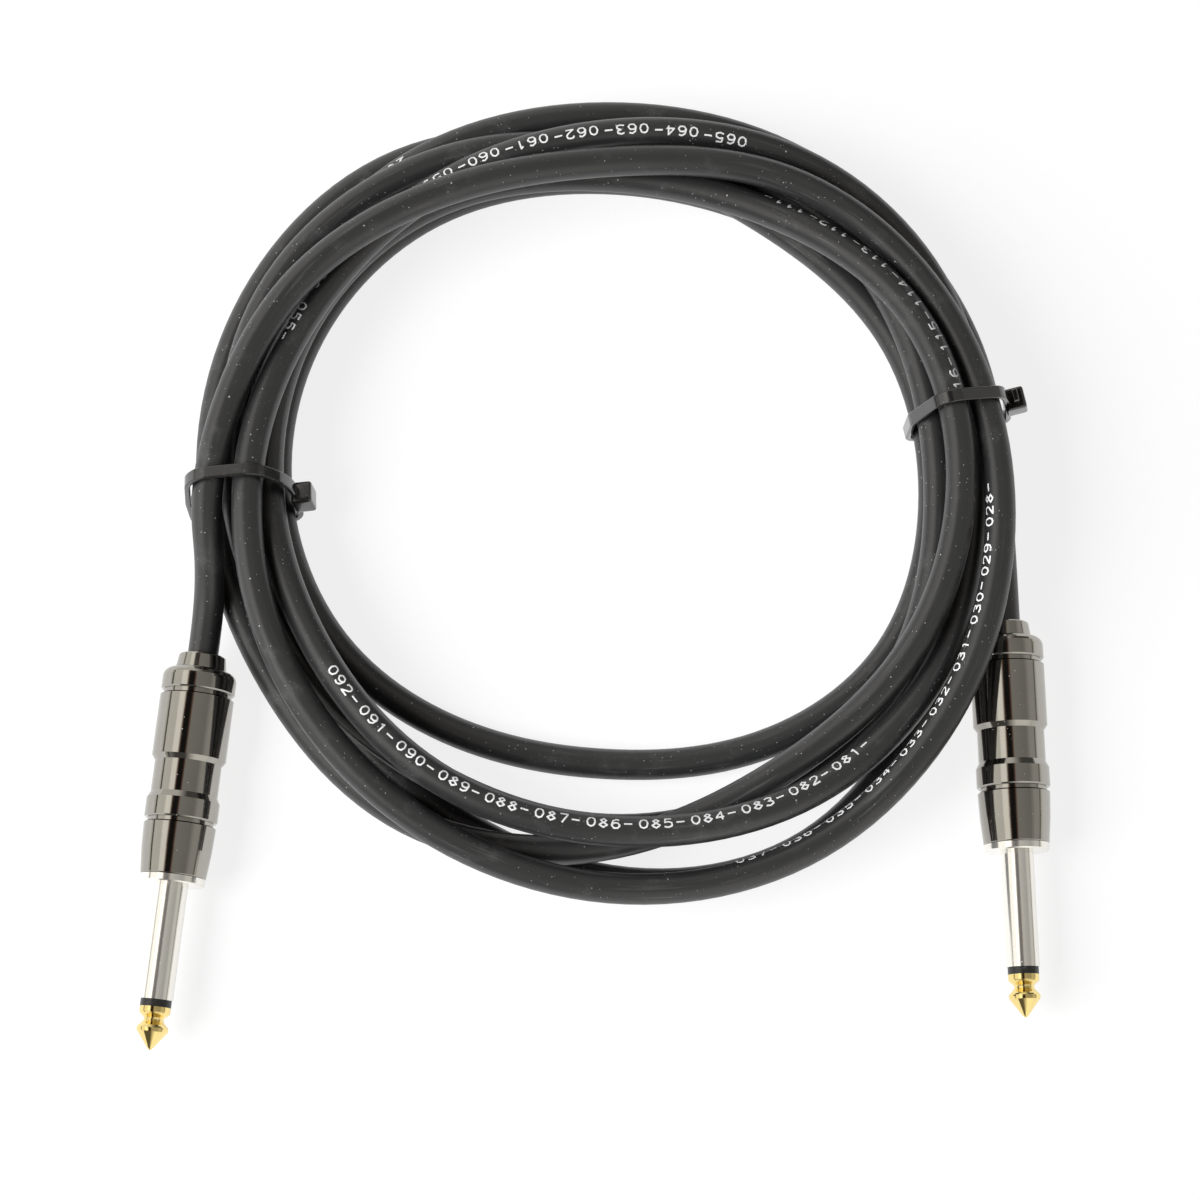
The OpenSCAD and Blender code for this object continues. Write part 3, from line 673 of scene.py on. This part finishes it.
class CABLE_OT_fit_ties(bpy.types.Operator):
    """Fits the two ties round the bundle"""
    bl_idname = "cable.fit_ties"
    bl_label = "Fit the ties"

    def execute(self, context):
        cable, tie = context.scene.cable_settings, context.scene.tie_settings
        controls, profile = route_controls(tie), strap_profile(tie)
        finish = plastic_finish("tie_nylon", grey(0.014), 0.14, 0.15, 0.85, 0.5)
        face = cable.diameter / 2 + tie.clearance
        for index, side in enumerate(SIDES):
            strands = strands_in_tie(index, controls)
            centres = np.vstack([strands, TIE_SLACK[index, :2]])
            radii = np.append(np.full(len(strands), face), TIE_SLACK[index, 2])
            line, facing = wrap_outline(centres, radii + tie.thickness / 2, STRAP_STEPS,
                                        TIE_FILL[index])
            grid = np.concatenate([line[:, None] + profile[None, :, 1:] * facing[:, None],
                                   np.tile(profile[:, :1], (len(line), 1, 1))], -1)
            strap = grid_piece(side + "_tie_strap", place_in_tie(index, grid),
                               wrap=(True, True), caps=False)

            first, second, tailed = TIE_HEADS[index]
            head = block_grid(HEAD_SIZE + [0, HEAD_SINK, 0], HEAD_ROUNDNESS)
            blocks = [("_tie_head", head, 0, (HEAD_SIZE[1] - HEAD_SINK) / 2)]
            if tailed:
                tail = block_grid(TAIL_SIZE, TAIL_ROUNDNESS)
                blocks.append(("_tie_tail", tail, TAIL_SHIFT, HEAD_SIZE[1] / 2))
            pieces = [strap]
            for name, block, shift, height in blocks:
                local = block_on_line(block, strands[first], strands[second], shift,
                                      face + tie.thickness + height)
                pieces.append(grid_piece(side + name, place_in_tie(index, local), caps=False))

            for piece in pieces:
                piece.data.materials.append(finish)
                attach(piece, "cord")
            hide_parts(side + "_tie")
        return {"FINISHED"}


class CABLE_OT_finish_plugs(bpy.types.Operator):
    """Gives every piece of the plugs its finish"""
    bl_idname = "cable.finish_plugs"
    bl_label = "Finish the plugs"

    def execute(self, context):
        plug = context.scene.plug_settings
        for index, side in enumerate(SIDES):
            shell = plated_finish(side + "_gunmetal", index, plug.shell_colour, 0.05, 0.5)
            nickel = plated_finish(side + "_nickel", index, plug.nickel_colour, 0.09, 1.0, 0.86)
            gold = plated_finish(side + "_gold", index, plug.gold_colour, 0.08, 0.6)
            black = plastic_finish(side + "_black", grey(0.02), 0.28)
            pale = plastic_finish(side + "_pale", grey(0.6, 0.05), 0.4)
            brown = plastic_finish(side + "_brown", (0.06, 0.035, 0.02, 1.0), 0.5)
            copper = plated_finish(side + "_copper", index, (0.7, 0.3, 0.15, 1.0), 0.25, 1.0)
            finishes = {"shell": shell, "nose": shell, "sleeve": nickel,
                        "insulating_ring": black, "tip": gold, "centre_rod": nickel,
                        "rod_insulator": pale, "rear_washer": brown, "earth_lug": nickel,
                        "tip_lug": nickel, "liner": black, "chuck": black,
                        "inner_core": pale, "solder": nickel, "shield_tail": copper}
            for name, finish in finishes.items():
                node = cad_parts[side + "_" + name]
                if not node.material_slots:
                    node.data.materials.append(finish)
                for slot in node.material_slots:
                    slot.material = finish
        return {"FINISHED"}


class CABLE_OT_set_stage(bpy.types.Operator):
    """Sets the floor, the room, the lamps and the camera"""
    bl_idname = "cable.set_stage"
    bl_label = "Set the stage"

    def execute(self, context):
        self.lay_floor()
        context.scene.world = self.room()
        self.hang_lamps(context.scene)
        self.set_camera(context.scene)
        context.scene.view_settings.view_transform = "Standard"
        return {"FINISHED"}

    def lay_floor(self):
        """Pale paper that shows the object's shadow. To the camera and in reflections it
        is nearly white; as a giver of light it is a plain grey."""
        corners = np.array([[[-2, -2, 0], [2, -2, 0]], [[-2, 2, 0], [2, 2, 0]]], float)
        floor = grid_piece("floor", corners, wrap=(False, False), caps=False)
        f = Finish("floor")
        camera_ray = f.node("LightPath")
        glossy_ray = camera_ray.output(3)
        fibre = f.noise(f.object_place(), 900.0, 5.0)
        paper = f.node("BsdfDiffuse", None, {"Color": grey(0.35)})
        shaded = f.node("BsdfDiffuse", None, {"Color": f.blend(fibre, grey(0.19), grey(0.23))})
        glow = f.node("Emission", None, {"Color": grey(1.0), "Strength": 0.83})
        lit = f.node("AddShader", None, {0: shaded, 1: glow})
        seen = camera_ray.maths("MAXIMUM", camera_ray, glossy_ray)
        both = f.node("MixShader", None, {0: seen, 1: paper, 2: lit})
        f.node("OutputMaterial", None, {"Surface": both})
        floor.data.materials.append(f.material)

    def room(self):
        """Even white for the light it gives, and a pale backdrop. Reflections show pale
        walls with a bright window and dark gaps, set out by the angle from overhead, left
        to right; the room's two ends are pale on one side and dark on the other."""
        f = Finish("studio", "worlds")
        x, y, z = f.parts(f.node("TexCoord"))
        angle = x.maths("ARCTAN2", x, z) * (1 / math.pi) + 0.5
        beam = (0.20, 0.11, 0.07, 1.0)
        bands = [(-90, tone(0.9)), (-84, tone(0.9)), (-82, tone(0.05)), (-78, tone(0.07)),
                 (-76, tone(1.0)), (-48, tone(0.95)), (-44, tone(1.4)), (-29, tone(1.4)),
                 (-24, beam), (-21, tone(0.015)), (-6, tone(0.015)), (-2, beam),
                 (1, tone(0.36)), (45, tone(0.30)), (60, tone(0.5)), (78, tone(0.5)),
                 (82, tone(0.05)), (85, tone(0.6)), (90, tone(0.9))]
        stops = [(0.5 + degrees / 180, colour) for degrees, colour in bands]
        walls = f.node("ValToRGB", {"stops": stops}, {0: angle})
        far_end = f.blend(f.ramp(x, -0.12, 0.28), tone(0.85), tone(0.10))
        near_end = f.blend(f.ramp(x, -0.18, 0.22), tone(0.10), tone(1.1))
        mirrored = f.blend(f.ramp(y, 0.45, 0.75), walls, far_end)
        mirrored = f.blend(f.ramp(y, -0.45, -0.75), mirrored, near_end)
        mirrored = f.node("Background", None, {"Color": mirrored})
        even = f.node("Background", None, {"Color": grey(1.0), "Strength": 0.07})
        backdrop = f.node("Background", None, {"Color": grey(1.0), "Strength": 0.97})
        camera_ray = f.node("LightPath")
        either = f.node("MixShader", None, {0: camera_ray.output(3), 1: even, 2: mirrored})
        whole = f.node("MixShader", None, {0: camera_ray, 1: either, 2: backdrop})
        f.node("OutputWorld", None, {"Surface": whole})
        return f.material

    def hang_lamps(self, scene):
        """Square lamps that reflections don't show."""
        for name, place, turn, size, power in LAMPS:
            lamp = bpy.data.lights.new(name, "AREA")
            lamp.size, lamp.energy = size, power
            made = bpy.data.objects.new(name, lamp)
            made.location, made.rotation_euler = place, turn
            made.visible_glossy = False
            scene.collection.objects.link(made)

    def set_camera(self, scene):
        """Camera in front of the coil, looking down at a point of the floor in it."""
        stage = scene.stage_settings
        camera = bpy.data.cameras.new("camera")
        camera.lens, camera.sensor_width = LENS, SENSOR_WIDTH
        camera.clip_start, camera.clip_end = 0.01, 20
        made = bpy.data.objects.new("camera", camera)
        back = np.array([0, -math.cos(stage.elevation), math.sin(stage.elevation)])
        made.location = LOOKED_AT + stage.distance * back
        made.rotation_euler = (math.pi / 2 - stage.elevation, 0, 0)
        scene.collection.objects.link(made)
        scene.camera = made


class CABLE_PT_dressing(bpy.types.Panel):
    """Lists the settings and the steps"""
    bl_idname = "CABLE_PT_dressing"
    bl_label = "Instrument cable"
    bl_space_type = "VIEW_3D"
    bl_region_type = "UI"
    bl_category = "Cable"

    def draw(self, context):
        for group in SETTINGS:
            settings = getattr(context.scene, group)
            for key in settings.__annotations__:
                self.layout.prop(settings, key)
        for step in STEPS:
            self.layout.operator(step.bl_idname)


SETTINGS = {"cable_settings": CableSettings, "tie_settings": TieSettings,
            "plug_settings": PlugSettings, "stage_settings": StageSettings}
STEPS = (CABLE_OT_set_stage, CABLE_OT_lay_cable, CABLE_OT_fit_ties, CABLE_OT_finish_plugs)


def register():
    for made in (*SETTINGS.values(), *STEPS, CABLE_PT_dressing):
        bpy.utils.register_class(made)
    for name, group in SETTINGS.items():
        setattr(bpy.types.Scene, name, bpy.props.PointerProperty(type=group))


def unregister():
    for name in SETTINGS:
        delattr(bpy.types.Scene, name)
    for made in (CABLE_PT_dressing, *reversed(STEPS), *reversed(SETTINGS.values())):
        bpy.utils.unregister_class(made)


def main():
    register()
    bpy.ops.cable.set_stage()
    bpy.ops.cable.lay_cable()
    bpy.ops.cable.fit_ties()
    bpy.ops.cable.finish_plugs()


if __name__ == "__main__":
    main()
